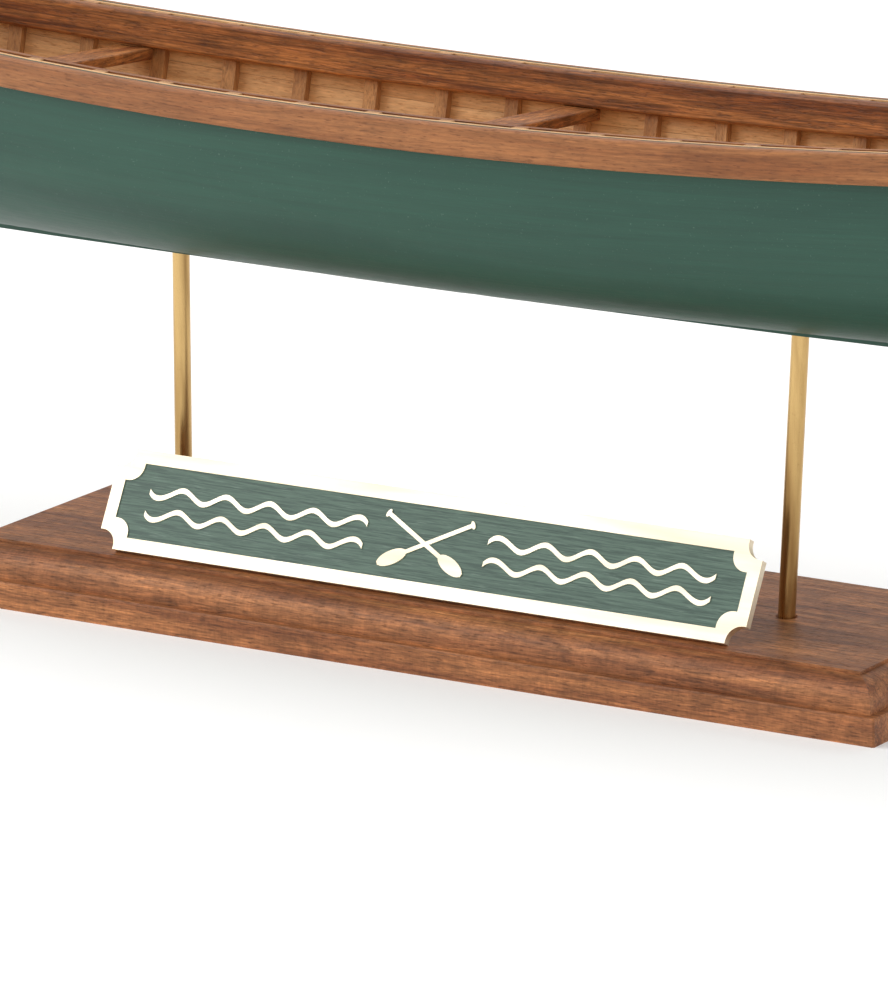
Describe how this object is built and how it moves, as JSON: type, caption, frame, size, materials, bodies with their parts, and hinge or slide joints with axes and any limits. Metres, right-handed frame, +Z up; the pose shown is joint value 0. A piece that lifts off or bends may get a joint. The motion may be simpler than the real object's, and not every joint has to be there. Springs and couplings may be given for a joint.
{
  "type": "display model canoe on stand",
  "caption": "Open wood-and-canvas canoe display model with ribs, planking, seats and thwarts, carried on two posts above a moulded base with a leaning plate.",
  "frame": {"origin": "middle of the underside of the base board", "axes": "+X along the canoe towards the bow, +Y away from the nameplate, +Z up"},
  "size_m": [0.4075, 0.062, 0.0994],
  "materials": {
    "green_paint": "satin green paint over canvas",
    "cedar": "clear satin varnish",
    "mahogany": "satin varnish",
    "base_wood": "satin varnish",
    "brass": "polished",
    "green_enamel": "brushed satin enamel",
    "cane": "woven cane"
  },
  "bodies": {
    "root": {"base_board": "base_wood", "bow_deck": "mahogany", "bow_post": "brass", "bow_seat_cane": "cane", "bow_seat_frame": "mahogany", "bow_socket_block": "mahogany", "bow_stem": "cedar", "bow_stem_band": "brass", "centre_thwart": "mahogany", "hull_skin": "green_paint", "keel": "mahogany", "nameplate": "brass", "nameplate_backing": "base_wood", "nameplate_enamel": "green_enamel", "nameplate_motif": "brass", "port_inwale": "mahogany", "port_outwale": "mahogany", "port_strake_1": "cedar", "port_strake_2": "cedar", "port_strake_3": "cedar", "port_strake_4": "cedar", "port_strake_5": "cedar", "port_strake_6": "cedar", "ribs": "cedar", "starboard_inwale": "mahogany", "starboard_outwale": "mahogany", "starboard_strake_1": "cedar", "starboard_strake_2": "cedar", "starboard_strake_3": "cedar", "starboard_strake_4": "cedar", "starboard_strake_5": "cedar", "starboard_strake_6": "cedar", "stern_deck": "mahogany", "stern_post": "brass", "stern_seat_cane": "cane", "stern_seat_frame": "mahogany", "stern_socket_block": "mahogany", "stern_stem": "cedar", "stern_stem_band": "brass", "stern_thwart": "mahogany"}
  },
  "joints": []
}
